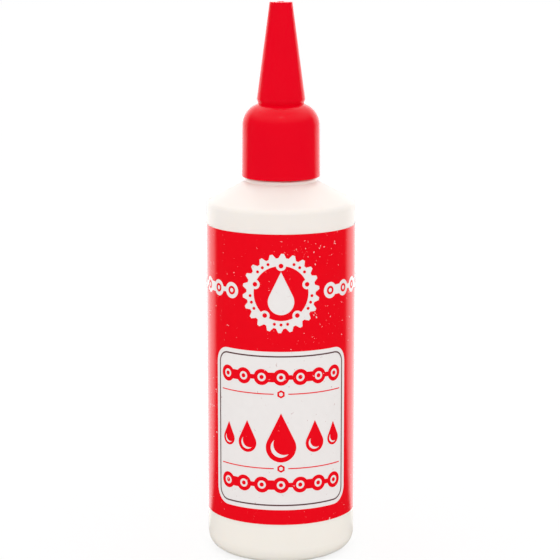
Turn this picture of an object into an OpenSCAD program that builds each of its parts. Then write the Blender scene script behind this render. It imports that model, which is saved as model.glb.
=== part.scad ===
// Chain lube bottle: a blown bottle with a wrapped label, a screw closure with a drip nozzle
// and a push-on conical overcap. It stands on Z = 0 with its axis on Z and its front towards -Y.

/* [Bottle body] */
// Outside diameter of the body
body_d = 45; // [42:0.5:50]
// Height at which the side and the shoulder's slope would meet
shoulder_z = 108.7; // [104:0.1:120]
// Slope of the shoulder above the horizontal, in degrees
shoulder_slope = 27.5; // [20:0.5:34]
// Thickness of the blown wall
wall = 1; // [0.8:0.05:1.4]
// Thickness of the base, where the blown wall is thicker
base_wall = 1.2; // [1:0.05:1.8]
// Radius between the side and the base
base_corner_r = 5; // [3:0.25:5.5]
// Radius between the side and the shoulder
shoulder_corner_r = 2; // [1.5:0.25:4]
// Width of the ring that the bottle stands on
foot_w = 3; // [2:0.25:4]
// Height of the hollow in the middle of the base
push_up_h = 1.6; // [1:0.1:3]
// Height of the pinched seam across the hollow of the base
seam_h = 0.4; // [0.2:0.05:0.6]
// Width of that seam
seam_w = 0.9; // [0.6:0.1:1.4]

/* [Bottle neck] */
// Diameter over the thread on the neck
thread_d = 19.6; // [18.6:0.1:20.6]
// Height of the thread's ridge above the neck
thread_depth = 1.05; // [0.8:0.05:1.1]
// Rise of the thread in one turn
thread_pitch = 3.175; // [3.1:0.025:3.6]
// Number of turns that the thread makes
thread_turns = 1.5; // [1:0.125:1.75]
// Width of the ridge at its crest
crest_w = 0.8; // [0.7:0.05:0.85]
// Thickness of the neck's wall under the thread
neck_wall = 1.85; // [1.4:0.05:2.2]
// Height of the neck from its bead to its lip
neck_h = 13.3; // [12.5:0.1:16]
// Distance from the lip to the top of the thread
thread_start = 1.2; // [0.8:0.1:1.8]
// Distance that the bead stands out beyond the thread
bead_proud = 1; // [0.6:0.1:1.4]
// Height of the bead under the thread
bead_h = 1.1; // [0.8:0.1:1.8]

/* [Lube] */
// Height of the lube's surface above the floor
lube_z = 93.5; // [60:0.5:101]

/* [Sealing washer] */
// Thickness of the washer between the lip and the closure
washer_t = 1; // [0.6:0.1:1.6]

/* [Nozzle closure] */
// Wall of the skirt, at its top
skirt_wall = 1.65; // [1.4:0.05:2.2]
// Distance that the draft widens the skirt at its open end
skirt_draft = 0.2; // [0:0.05:0.3]
// Radial clearance between the threads of the neck and the skirt
thread_clear = 0.25; // [0.2:0.05:0.35]
// Gap between the bead and the skirt's open end
skirt_gap = 0.3; // [0.2:0.05:1]
// Height of the overcap's seat above the washer
dome_h = 8.1; // [7.5:0.1:10]
// Radius of the rounding between the skirt and the cone above it
dome_r = 7; // [5.5:0.25:7.5]
// Slope of that cone above the horizontal, in degrees
dome_slope = 25; // [20:0.5:30]
// Wall of the cone above the skirt
dome_wall = 1.5; // [1.2:0.05:1.8]
// Thickness of the ring that presses on the washer
seal_ring_t = 1.2; // [0.9:0.1:1.5]
// Diameter of the plain collar at the nozzle's foot, which the overcap grips
collar_d = 10.6; // [10:0.1:11]
// Height of that collar
collar_h = 3; // [2.5:0.1:3.5]
// Diameter of the nozzle at its tip
tip_d = 3.2; // [3:0.1:3.8]
// Wall of the nozzle
nozzle_wall = 1.3; // [1.1:0.05:1.5]
// Bore that the lube drips from
orifice_d = 1.7; // [1.4:0.1:1.9]
// Length of that bore
orifice_h = 5; // [4.5:0.25:7]

/* [Overcap] */
// Diameter of the cone at its widest, just above its foot
overcap_d = 14.7; // [14.3:0.1:15.4]
// Diameter of the flat top
overcap_top_d = 6.9; // [6.6:0.1:8]
// Height of the overcap
overcap_h = 30.5; // [29:0.1:36]
// Wall of the cone
overcap_wall = 1.2; // [1:0.05:1.3]
// Thickness of the top
overcap_top_t = 1.6; // [1.2:0.1:2.2]
// Height of the bevel round the foot
foot_bevel_h = 1.3; // [0.8:0.1:1.8]
// Distance that the bevel goes in
foot_bevel_w = 0.4; // [0.2:0.05:0.6]
// Radial clearance of the overcap on the nozzle
overcap_clear = 0.1; // [0.05:0.05:0.15]
// Gap between the nozzle's tip and the inside of the top
tip_gap = 0.7; // [0.4:0.1:1.2]
// Number of ribs inside the cone
rib_count = 6; // [4:1:8]
// Thickness of a rib
rib_t = 0.8; // [0.6:0.1:1]
// Height of a rib
rib_h = 11; // [8:0.5:14]
// Length of the pin that stops the orifice
pin_h = 4; // [3:0.25:4.5]

/* [Label] */
// Height of the label's lower edge
label_z = 13; // [8:0.5:14]
// Height of the label
label_h = 89; // [75:0.2:90]
// Thickness of the film
film_t = 0.15; // [0.1:0.05:0.2]
// Thickness of the adhesive between the bottle and the film
glue_t = 0.03; // [0.02:0.01:0.05]
// Thickness that the print is drawn with
ink_t = 0.05; // [0.05:0.01:0.08]
// Width of the bare strip between the label's ends, at the back
label_gap = 3; // [2:0.5:6]
// Width of the light panel, measured round the label
panel_w = 45.6; // [40:0.2:48]
// Height of the light panel
panel_h = 49; // [46:0.5:51]
// Height of the panel above the label's lower edge
panel_rise = 4.6; // [3:0.2:6]
// Radius of the panel's corners
panel_r = 5; // [3:0.5:7]
// Distance from the panel's edge to the dark line inside it
line_inset = 1.3; // [1:0.1:1.8]
// Width of the dark line
line_w = 0.4; // [0.3:0.05:0.6]
// Radius of the chainring over its teeth
ring_r = 12; // [10:0.25:12.5]
// Number of teeth on the chainring
ring_teeth = 22; // [16:1:28]
// Radius of the largest drop on the panel
drop_r = 4.6; // [3.5:0.1:5]
// Number of links in each printed chain
link_count = 6; // [5:1:8]
// Distance from the dark line to the ends of the printed chains
chain_margin = 1; // [0.6:0.1:1.6]

/* [Hidden] */
$fn = 96;

// Colours
natural_white = [0.95, 0.93, 0.9];
milky_lube = [0.93, 0.9, 0.82];
film_white = [0.95, 0.94, 0.93];
print_red = [0.92, 0.02, 0.13];
print_dark = [0.35, 0.2, 0.2];
foam_white = [0.9, 0.9, 0.88];
cap_red = [0.89, 0.01, 0.14];

// Sharp corners are eased by this much where a hand would feel them
ease = 0.3;
// Depth that a ridge, rib or ring is rooted in the wall that carries it
rooted = 0.4;
// Extra length of a cut, so that it passes through the face it opens
over = 1;

// Bottle: the bead and the lip end its neck, and a ball-shaped hollow lifts the middle of its base
body_r = body_d / 2;
bead_r = thread_d / 2 + bead_proud;
neck_r = thread_d / 2 - thread_depth;
bore_r = neck_r - neck_wall;
bead_z = shoulder_z + (body_r - bead_r) * tan(shoulder_slope);
neck_z = bead_z + bead_h;
lip_z = neck_z + neck_h;
foot_r = body_r - base_corner_r - foot_w;
push_up_r = (foot_r * foot_r + push_up_h * push_up_h) / (2 * push_up_h);
push_up_z = push_up_h - push_up_r;
foot_clear = 0.2;
lube_clear = 0.05;

// Threads: each ridge has sloping flanks, fades into its wall over an angle at either end, and is
// drawn in steps. The skirt's ridge lies under the neck's by ridge_drop, with a gap between flanks.
flank = 30;
fade = 40;
buried = 0.15;
steps_per_turn = 30;
flank_gap = 0.2;
root_w = crest_w + 2 * thread_depth * tan(flank);
thread_low_z = lip_z - thread_start - root_w / 2 - thread_turns * thread_pitch;
skirt_root_r = thread_d / 2 + thread_clear;
skirt_crest_r = neck_r + thread_clear;
ridge_drop = crest_w + (thread_depth - thread_clear) * tan(flank) + flank_gap;

// Closure: its skirt hangs just above the bead, and its seal ring presses the washer on the lip
washer_clear = 0.15;
bore_step = 0.1;
skirt_z = neck_z + skirt_gap;
skirt_r = skirt_root_r + skirt_wall;
washer_z = lip_z;
washer_top_z = washer_z + washer_t;
seat_z = washer_top_z + dome_h;
seat_r = overcap_d / 2 - foot_bevel_w;
dome_edge_z = seat_z - (skirt_r - seat_r) * tan(dome_slope);
collar_r = collar_d / 2;
tip_r = tip_d / 2;
tip_z = seat_z + overcap_h - overcap_top_t - tip_gap;
orifice_r = orifice_d / 2;
washer_r = skirt_root_r - washer_clear;
washer_bore_r = bore_r + bore_step;
seal_ring_r = washer_bore_r + bore_step;
under_seat_z = seat_z - dome_wall;

// Overcap: its foot grips the nozzle's collar, and its ribs start above that collar
grip_h = 1.6;
rib_lift = 0.4;
overcap_z = seat_z;
overcap_r = overcap_d / 2;
overcap_top_r = overcap_top_d / 2;
ceiling_z = overcap_z + overcap_h - overcap_top_t;
rib_low_z = overcap_z + collar_h + rib_lift;

// Label: the emblem is centred on the red field between the panel and the label's upper edge, and
// the chains end in a rounding of link_end times their pitch, just inside the dark line
link_end = 0.42;
film_back_r = body_r + glue_t;
film_r = film_back_r + film_t;
ink_r = film_r + ink_t;
gap_angle = label_gap / body_r * 180 / PI;
panel_z = label_z + panel_rise + panel_h / 2;
inside_w = panel_w - 2 * (line_inset + line_w);
link_pitch = (inside_w - 2 * chain_margin) / (link_count + 2 * link_end);
emblem_z = (panel_z + panel_h / 2 + label_z + label_h) / 2;

function unit(v) = v / norm(v);

// Angle that a length measured round the label takes up at the axis
function wrap(length) = length / ink_r * 180 / PI;

// Point i of a closed outline, as [x, y]
function at(outline, i) = let (p = outline[(i + len(outline)) % len(outline)]) [p[0], p[1]];

// Half the angle inside corner i
function half_angle(outline, i) =
    let (p = at(outline, i))
    acos(unit(at(outline, i - 1) - p) * unit(at(outline, i + 1) - p)) / 2;

// Radius of the rounding at point i: 0 at a sharp corner, and never more than its sides have room for
function rounding(outline, i) =
    let (p = at(outline, i), asked = len(outline[i]) > 2 ? outline[i][2] : 0,
        room = min(norm(at(outline, i - 1) - p), norm(at(outline, i + 1) - p)))
    min(asked, 0.98 * room * tan(half_angle(outline, i)));

// Centre of the arc that rounds corner i
function arc_centre(outline, i) =
    let (p = at(outline, i))
    p + unit(unit(at(outline, i - 1) - p) + unit(at(outline, i + 1) - p))
        * rounding(outline, i) / sin(half_angle(outline, i));

// The two points where that arc meets its sides, or the corner itself where it is sharp
function cut_corner(outline, i) =
    let (p = at(outline, i), r = rounding(outline, i), t = r / tan(half_angle(outline, i)))
    r == 0 ? [p] : [p + unit(at(outline, i - 1) - p) * t, p + unit(at(outline, i + 1) - p) * t];

// True where an outline that runs counterclockwise turns left at point i
function is_convex(outline, i) =
    let (p = at(outline, i))
    cross(p - at(outline, i - 1), at(outline, i + 1) - p) > 0;

// The wedge of the arc's circle that lies inside corner i
module corner_wedge(outline, i) {
    centre = arc_centre(outline, i);
    cuts = cut_corner(outline, i);
    intersection() {
        translate(centre)
            circle(rounding(outline, i));
        polygon([cuts[0], at(outline, i), cuts[1], centre]);
    }
}

// A closed outline of [x, y, rounding] points, counterclockwise, with true arcs at its corners
module rounded_outline(outline) {
    last = len(outline) - 1;
    difference() {
        union() {
            polygon([for (i = [0:last]) each cut_corner(outline, i)]);
            for (i = [0:last])
                if (rounding(outline, i) > 0 && is_convex(outline, i))
                    corner_wedge(outline, i);
        }
        for (i = [0:last])
            if (rounding(outline, i) > 0 && !is_convex(outline, i))
                corner_wedge(outline, i);
    }
}

// A ring of revolution between two radii and two heights
module ring(inner_r, outer_r, low_z, high_z) {
    translate([0, 0, low_z])
        difference() {
            cylinder(h = high_z - low_z, r = outer_r);
            translate([0, 0, -over])
                cylinder(h = high_z - low_z + 2 * over, r = inner_r);
        }
}

// One section of a thread's ridge at an angle along the thread, as four points from root to crest
function ridge_section(angle, root_r, crest_r, root_half, crest_half, low_z) =
    let (z = low_z + thread_pitch * angle / 360)
    [for (p = [[root_r, -root_half], [crest_r, -crest_half], [crest_r, crest_half], [root_r, root_half]])
        [p[0] * cos(angle), p[0] * sin(angle), z + p[1]]];

// Crest radius at an angle along the thread: it sinks into the wall at either end
function crest_at(angle, total, wall_r, crest_r) =
    let (share = min(1, angle / fade, (total - angle) / fade),
        buried_r = wall_r - sign(crest_r - wall_r) * buried)
    buried_r + (crest_r - buried_r) * share;

// A right-handed ridge that winds round the axis and stands on a wall of radius wall_r
module thread_ridge(wall_r, crest_r, low_z) {
    steps = ceil(thread_turns * steps_per_turn);
    total = thread_turns * 360;
    root_r = wall_r - sign(crest_r - wall_r) * rooted;
    outward = crest_r > wall_r;
    sections = [for (i = [0:steps])
        let (angle = total * i / steps, tip = crest_at(angle, total, wall_r, crest_r))
        ridge_section(angle, root_r, tip,
            crest_w / 2 + abs(crest_r - root_r) * tan(flank),
            crest_w / 2 + abs(crest_r - tip) * tan(flank), low_z)];
    points = [for (section = sections) each section];
    sides = [for (i = [0:steps - 1], k = [0:3])
        let (a = 4 * i + k, b = 4 * i + (k + 1) % 4, c = b + 4, d = a + 4)
        each outward ? [[a, b, c], [a, c, d]] : [[c, b, a], [d, c, a]]];
    ends = outward ? [[3, 2, 1, 0], [4 * steps, 4 * steps + 1, 4 * steps + 2, 4 * steps + 3]]
                   : [[0, 1, 2, 3], [4 * steps + 3, 4 * steps + 2, 4 * steps + 1, 4 * steps]];
    polyhedron(points = points, faces = concat(sides, ends));
}

// Half section of the bottle's outside, closed along the axis
module bottle_outline() {
    rounded_outline([
        [0, 0],
        [body_r, 0, base_corner_r],
        [body_r, shoulder_z, shoulder_corner_r],
        [bead_r, bead_z],
        [bead_r, neck_z, ease],
        [neck_r, neck_z],
        [neck_r, lip_z, ease],
        [0, lip_z],
    ]);
}

// Half section of the space inside the bottle, drawn in by inset on every side
module cavity_outline(inset) {
    side_r = body_r - wall - inset;
    thick = (wall + inset) / cos(shoulder_slope);
    mouth_r = bore_r - inset;
    difference() {
        rounded_outline([
            [0, base_wall + inset],
            [side_r, base_wall + inset, base_corner_r - wall],
            [side_r, shoulder_z + (body_r - side_r) * tan(shoulder_slope) - thick, shoulder_corner_r - wall],
            [mouth_r, shoulder_z + (body_r - mouth_r) * tan(shoulder_slope) - thick, 1],
            [mouth_r, lip_z + over],
            [0, lip_z + over],
        ]);
        translate([0, push_up_z])
            circle(push_up_r + base_wall + inset, $fn = 720);
    }
}

// The seam that the mould pinches across the base's hollow, clear of the floor
module pinched_seam() {
    translate([0, seam_w / 2, 0])
        rotate([90, 0, 0])
            linear_extrude(seam_w)
                intersection() {
                    translate([0, push_up_z])
                        difference() {
                            circle(push_up_r + rooted, $fn = 720);
                            circle(push_up_r - seam_h, $fn = 720);
                        }
                    translate([-foot_r, foot_clear])
                        square([2 * foot_r, push_up_h + rooted]);
                }
}

module bottle() {
    color(natural_white) {
        rotate_extrude()
            difference() {
                bottle_outline();
                cavity_outline(0);
                translate([0, push_up_z])
                    circle(push_up_r, $fn = 720);
            }
        pinched_seam();
        thread_ridge(neck_r, thread_d / 2, thread_low_z);
    }
}

module lube_fill() {
    color(milky_lube)
        rotate_extrude()
            intersection() {
                cavity_outline(lube_clear);
                square([body_r, lube_z]);
            }
}

module sealing_washer() {
    color(foam_white)
        ring(washer_bore_r, washer_r, washer_z, washer_top_z);
}

// Half section of the closure's outside and of its nozzle, closed along the axis
module closure_outline() {
    rounded_outline([
        [0, skirt_z],
        [skirt_r + skirt_draft, skirt_z, ease],
        [skirt_r, dome_edge_z, dome_r],
        [seat_r, seat_z],
        [collar_r, seat_z],
        [collar_r, seat_z + collar_h, ease],
        [tip_r, tip_z, ease],
        [0, tip_z],
    ]);
}

// Half section of the space inside the closure, from the skirt up to the orifice
module closure_cavity() {
    thick = dome_wall / cos(dome_slope);
    inside_edge_z = dome_edge_z + (skirt_r - skirt_root_r) * tan(dome_slope) - thick;
    inside_seat_r = seat_r + (seat_z - thick - under_seat_z) / tan(dome_slope);
    channel_r = collar_r - nozzle_wall;
    rounded_outline([
        [0, skirt_z - over],
        [skirt_root_r, skirt_z - over],
        [skirt_root_r, inside_edge_z, dome_r - dome_wall],
        [inside_seat_r, under_seat_z],
        [channel_r, under_seat_z],
        [channel_r, seat_z + collar_h],
        [orifice_r, tip_z - orifice_h],
        [orifice_r, tip_z + over],
        [0, tip_z + over],
    ]);
}

module nozzle_closure() {
    color(cap_red) {
        rotate_extrude()
            difference() {
                closure_outline();
                closure_cavity();
            }
        ring(seal_ring_r, seal_ring_r + seal_ring_t, washer_top_z, under_seat_z);
        thread_ridge(skirt_root_r, skirt_crest_r, thread_low_z - ridge_drop);
    }
}

// Outside radius of the overcap's cone at height z
function overcap_r_at(z) =
    overcap_r + (overcap_top_r - overcap_r) * (z - overcap_z - foot_bevel_h) / (overcap_h - foot_bevel_h);

// Outside radius of the nozzle's cone at height z
function nozzle_r_at(z) =
    collar_r + (tip_r - collar_r) * (z - seat_z - collar_h) / (tip_z - seat_z - collar_h);

module overcap_outline() {
    rounded_outline([
        [0, overcap_z],
        [overcap_r - foot_bevel_w, overcap_z],
        [overcap_r, overcap_z + foot_bevel_h, 1],
        [overcap_top_r, overcap_z + overcap_h, ease],
        [0, overcap_z + overcap_h],
    ]);
}

module overcap_cavity() {
    grip_r = collar_r + overcap_clear;
    grip_z = overcap_z + grip_h;
    wide_z = grip_z + overcap_r_at(grip_z) - overcap_wall - grip_r;
    polygon([
        [0, overcap_z - over],
        [grip_r, overcap_z - over],
        [grip_r, grip_z],
        [overcap_r_at(wide_z) - overcap_wall, wide_z],
        [overcap_r_at(ceiling_z) - overcap_wall, ceiling_z],
        [0, ceiling_z],
    ]);
}

// A rib that centres the cone on the nozzle, from the wall to just clear of the nozzle
module overcap_rib() {
    high_z = rib_low_z + rib_h;
    translate([0, rib_t / 2, 0])
        rotate([90, 0, 0])
            linear_extrude(rib_t)
                polygon([
                    [nozzle_r_at(rib_low_z) + overcap_clear, rib_low_z],
                    [overcap_r_at(rib_low_z) - overcap_wall + rooted, rib_low_z],
                    [overcap_r_at(high_z) - overcap_wall + rooted, high_z],
                    [nozzle_r_at(high_z) + overcap_clear, high_z],
                ]);
}

module overcap() {
    color(cap_red) {
        rotate_extrude()
            difference() {
                overcap_outline();
                overcap_cavity();
            }
        for (i = [0:rib_count - 1])
            rotate([0, 0, 360 * i / rib_count])
                overcap_rib();
        translate([0, 0, ceiling_z - pin_h])
            cylinder(h = pin_h + rooted, r = orifice_r - overcap_clear);
    }
}

// A layer of the label between two radii, open at the back
module label_layer(inner_r, thick) {
    rotate([0, 0, 90 + gap_angle / 2])
        rotate_extrude(angle = 360 - gap_angle)
            translate([inner_r, label_z])
                square([thick, label_h]);
}

// A flat shape swept straight out through the label, at an angle from the front and a height
module beam(angle, z) {
    near = ink_r / 4;
    rotate([0, 0, angle])
        translate([0, -near, z])
            rotate([90, 0, 0])
                linear_extrude(ink_r + over - near)
                    children();
}

// The print that such a beam leaves on the film
module printed(angle, z) {
    intersection() {
        label_layer(film_r, ink_t);
        beam(angle, z)
            children();
    }
}

// A rounded rectangle whose width is measured round the label, drawn flat as it looks from the front
module flat_patch(w, h, r) {
    half_w = ink_r * sin(wrap(w) / 2);
    rounded_outline([[-half_w, -h / 2, r], [half_w, -h / 2, r], [half_w, h / 2, r], [-half_w, h / 2, r]]);
}

// An oil drop about its middle: a circle and a point whose sides end just inside the circle
module drop(r) {
    tip_y = 2.3 * r;
    side_r = 0.96 * r;
    turn = acos(side_r / tip_y);
    side_x = side_r * sin(turn);
    side_y = side_r * cos(turn);
    translate([0, (r - tip_y) / 2]) {
        circle(r);
        polygon([[0, tip_y], [-side_x, side_y], [side_x, side_y]]);
    }
}

// A chainring seen from its side, with a drop in its open middle
module chainring() {
    tooth_h = 1.3;
    root_r = ring_r - tooth_h;
    difference() {
        union() {
            circle(root_r);
            for (i = [0:ring_teeth - 1])
                rotate(360 * i / ring_teeth)
                    translate([root_r - ease, 0])
                        polygon([[0, -1.1], [tooth_h + ease, -0.35], [tooth_h + ease, 0.35], [0, 1.1]]);
        }
        circle(root_r - 2.4);
    }
    drop(ring_r * 0.33);
}

// A roller chain laid round the label at a height, with wide plates and narrow plates by turns
module printed_chain(z) {
    difference() {
        union() {
            for (i = [0:link_count])
                printed((i - link_count / 2) * wrap(link_pitch), z)
                    circle(link_pitch * link_end);
            for (i = [0:link_count - 1])
                printed((i + 0.5 - link_count / 2) * wrap(link_pitch), z)
                    square([link_pitch, link_pitch * (i % 2 == 0 ? 0.5 : 0.22)], center = true);
        }
        for (i = [0:link_count])
            beam((i - link_count / 2) * wrap(link_pitch), z)
                circle(link_pitch * 0.17);
    }
}

// Five drops in a row, the middle one the largest
module printed_drops(z) {
    for (side = [-1, 1]) {
        printed(side * wrap(inside_w) * 0.25, z)
            drop(drop_r * 0.65);
        printed(side * wrap(inside_w) * 0.41, z)
            drop(drop_r * 0.48);
    }
    printed(0, z)
        drop(drop_r);
}

module label_film() {
    color(film_white)
        label_layer(film_back_r, film_t);
}

// The red ground, with the panel and the emblem left open, and the red shapes on the panel
module label_red_print() {
    color(print_red) {
        difference() {
            label_layer(film_r, ink_t);
            beam(0, panel_z)
                flat_patch(panel_w, panel_h, panel_r);
            beam(0, emblem_z)
                chainring();
        }
        printed_chain(panel_z + panel_h * 0.34);
        printed_drops(panel_z - panel_h * 0.04);
        printed_chain(panel_z - panel_h * 0.34);
    }
}

module label_dark_print() {
    outer_r = panel_r - line_inset;
    color(print_dark)
        printed(0, panel_z)
            difference() {
                flat_patch(inside_w + 2 * line_w, panel_h - 2 * line_inset, outer_r);
                flat_patch(inside_w, panel_h - 2 * (line_inset + line_w), outer_r - line_w);
            }
}

bottle();
lube_fill();
label_film();
label_red_print();
label_dark_print();
sealing_washer();
nozzle_closure();
overcap();
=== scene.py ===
from math import atan2, cos, pi, radians, sin, tan

import bmesh
import bpy
from bpy.props import FloatProperty, FloatVectorProperty, IntProperty, PointerProperty
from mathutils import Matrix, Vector


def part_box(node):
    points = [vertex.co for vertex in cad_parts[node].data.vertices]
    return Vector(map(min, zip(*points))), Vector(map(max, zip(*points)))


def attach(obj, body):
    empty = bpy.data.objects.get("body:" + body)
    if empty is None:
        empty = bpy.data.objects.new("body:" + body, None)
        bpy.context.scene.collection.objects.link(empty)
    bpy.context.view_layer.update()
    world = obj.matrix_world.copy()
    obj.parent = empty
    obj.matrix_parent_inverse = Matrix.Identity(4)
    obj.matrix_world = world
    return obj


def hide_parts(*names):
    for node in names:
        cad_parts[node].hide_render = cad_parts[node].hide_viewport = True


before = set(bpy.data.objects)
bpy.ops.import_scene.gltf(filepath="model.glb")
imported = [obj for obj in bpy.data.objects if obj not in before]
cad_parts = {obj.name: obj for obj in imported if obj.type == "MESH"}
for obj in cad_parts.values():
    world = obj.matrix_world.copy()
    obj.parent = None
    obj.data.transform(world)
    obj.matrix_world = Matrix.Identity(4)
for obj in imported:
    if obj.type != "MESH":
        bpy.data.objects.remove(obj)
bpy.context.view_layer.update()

bl_info = {
    "name": "Chain lube bottle",
    "version": (1, 0, 0),
    "blender": (4, 5, 0),
    "location": "3D View > Sidebar > Lube bottle",
    "description": "Dresses the bottle's frame: label, print, mould marks, finishes and a studio",
    "category": "Add Mesh",
}

MM = 0.001
WHITE = (1, 1, 1, 1)
FACING_FRONT = (pi / 2, 0, 0)

# How far a cutter reaches to each side of the flat print
CUTTER_REACH = 1 * MM
# Angle of each flat strip of the wrapped label, and the angle below which its edges look smooth
STRIP_ANGLE = radians(2)
STRIP_SMOOTH = radians(20)
# Angle below which the edges of a mould mark look smooth, and the width of their bevel
MARK_SMOOTH = radians(40)
MARK_BEVEL = 0.03 * MM

# A drop's tip stands this many radii over the middle of its round end
DROP_TIP = 2.3
# Turns in degrees, from the chainring's top, of its five bolt tabs
TAB_TURNS = range(0, 360, 72)
# A printed chain's round ends, pin holes, rivets and plates, as shares of its pitch
ROUND_END = 0.42
PIN_HOLE = 0.22
RIVET = 0.11
PLATE_LENGTH = 0.9
WIDE_PLATE = 0.5
NARROW_PLATE = 0.24

# Places that the frame gives: the label's edges and radius, the bottle, the lube and the overcap
label_low_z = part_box("label_film")[0].z
label_high_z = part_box("label_film")[1].z
film_outer_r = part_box("label_film")[1].x
bottle_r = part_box("bottle")[1].x
overcap_top_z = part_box("overcap")[1].z
lube_top_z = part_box("lube_fill")[1].z


def linear(hex_colour):
    """An sRGB hex colour as the linear colour that shaders take."""
    shares = [int(hex_colour[i:i + 2], 16) / 255 for i in (1, 3, 5)]
    return [s / 12.92 if s <= 0.04045 else ((s + 0.055) / 1.055) ** 2.4 for s in shares] + [1]


# Sizes and colours


class MouldMarkSizes(bpy.types.PropertyGroup):
    """Sizes of the marks that the moulds leave, and of the bottle's curves that they follow."""

    line_width: FloatProperty(
        name="Parting line width", description="Width of the ridge up each side of the bottle",
        default=0.25 * MM, unit="LENGTH", precision=5)
    line_height: FloatProperty(
        name="Parting line height", description="Height of the ridge over the bottle's wall",
        default=0.05 * MM, unit="LENGTH", precision=5)
    label_clearance: FloatProperty(
        name="Label clearance", description="Distance from the label's edge to the parting lines",
        default=0.5 * MM, unit="LENGTH", precision=5)
    foot_radius: FloatProperty(
        name="Foot radius", description="Radius of the rounding at the bottle's base",
        default=5 * MM, unit="LENGTH", precision=5)
    shoulder_radius: FloatProperty(
        name="Shoulder radius", description="Radius of the rounding between side and shoulder",
        default=2 * MM, unit="LENGTH", precision=5)
    shoulder_slope: FloatProperty(
        name="Shoulder slope", description="Slope of the shoulder over the level",
        default=radians(27.5), unit="ROTATION")
    shoulder_height: FloatProperty(
        name="Shoulder height", description="Height at which side and shoulder would meet unrounded",
        default=108.7 * MM, unit="LENGTH", precision=5)
    bead_radius: FloatProperty(
        name="Bead radius", description="Radius at which the shoulder's parting line ends",
        default=11 * MM, unit="LENGTH", precision=5)
    gate_radius: FloatProperty(
        name="Gate mark radius", description="Radius of the ring on the overcap's top",
        default=1.1 * MM, unit="LENGTH", precision=5)
    gate_height: FloatProperty(
        name="Gate mark height", description="Height of the ring over the overcap's top",
        default=0.08 * MM, unit="LENGTH", precision=5)


class LabelSizes(bpy.types.PropertyGroup):
    """Sizes of the wrapped label and of what is printed on it."""

    film_thickness: FloatProperty(
        name="Film thickness", description="Thickness of the label's film",
        default=0.15 * MM, unit="LENGTH", precision=5)
    ink_thickness: FloatProperty(
        name="Ink thickness", description="Thickness that the print is drawn with",
        default=0.05 * MM, unit="LENGTH", precision=5)
    film_corner: FloatProperty(
        name="Film corner", description="Radius of the film's corners, at the back",
        default=2 * MM, unit="LENGTH", precision=5)
    back_gap: FloatProperty(
        name="Back gap", description="Bare strip between the label's ends",
        default=3 * MM, unit="LENGTH", precision=5)
    panel_width: FloatProperty(
        name="Panel width", description="Width of the light panel, measured round the label",
        default=45.6 * MM, unit="LENGTH", precision=5)
    panel_height: FloatProperty(
        name="Panel height", description="Height of the light panel and the side panels",
        default=49 * MM, unit="LENGTH", precision=5)
    panel_rise: FloatProperty(
        name="Panel rise", description="Height of the panels above the label's lower edge",
        default=4.6 * MM, unit="LENGTH", precision=5)
    panel_corner: FloatProperty(
        name="Panel corner", description="Radius of the panels' corners",
        default=5 * MM, unit="LENGTH", precision=5)
    side_panel_width: FloatProperty(
        name="Side panel width", description="Width of each side panel, measured round the label",
        default=30 * MM, unit="LENGTH", precision=5)
    side_panel_place: FloatProperty(
        name="Side panel place", description="From the label's middle round to a side panel's",
        default=50 * MM, unit="LENGTH", precision=5)
    line_inset: FloatProperty(
        name="Line inset", description="Distance from a panel's edge to the thin line inside it",
        default=1.3 * MM, unit="LENGTH", precision=5)
    line_width: FloatProperty(
        name="Line width", description="Width of the thin line",
        default=0.4 * MM, unit="LENGTH", precision=5)
    print_margin: FloatProperty(
        name="Print margin", description="Gap between the thin line and the chains' and rules' ends",
        default=1 * MM, unit="LENGTH", precision=5)
    ring_radius: FloatProperty(
        name="Chainring radius", description="Radius of the printed chainring over its teeth",
        default=12 * MM, unit="LENGTH", precision=5)
    ring_teeth: IntProperty(
        name="Chainring teeth", description="Number of teeth on the printed chainring",
        default=22, min=12, max=40)
    tooth_height: FloatProperty(
        name="Tooth height", description="Height of the chainring's teeth",
        default=1.3 * MM, unit="LENGTH", precision=5)
    ring_web: FloatProperty(
        name="Chainring web", description="Width of the chainring inside its teeth",
        default=2.4 * MM, unit="LENGTH", precision=5)
    tab_radius: FloatProperty(
        name="Bolt tab radius", description="Radius of the chainring's round bolt tabs",
        default=1.5 * MM, unit="LENGTH", precision=5)
    link_count: IntProperty(
        name="Links", description="Number of links in each chain on the panel",
        default=6, min=4, max=10)
    run_links: IntProperty(
        name="Links round the side", description="Number of links in each chain beside the chainring",
        default=8, min=2, max=8)
    run_start: FloatProperty(
        name="Chain start", description="From the chainring's teeth to the first pin beside it",
        default=4 * MM, unit="LENGTH", precision=5)
    drop_radius: FloatProperty(
        name="Drop radius", description="Radius of the largest drop on the panel",
        default=4.6 * MM, unit="LENGTH", precision=5)
    roundel_radius: FloatProperty(
        name="Roundel radius", description="Radius of the roundels on the side panels",
        default=5.6 * MM, unit="LENGTH", precision=5)
    roundel_step: FloatProperty(
        name="Roundel step", description="Height from one roundel to the next",
        default=15 * MM, unit="LENGTH", precision=5)
    roundel_place: FloatProperty(
        name="Roundel place", description="From a side panel's middle to the roundels on its left",
        default=6.5 * MM, unit="LENGTH", precision=5)


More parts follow.
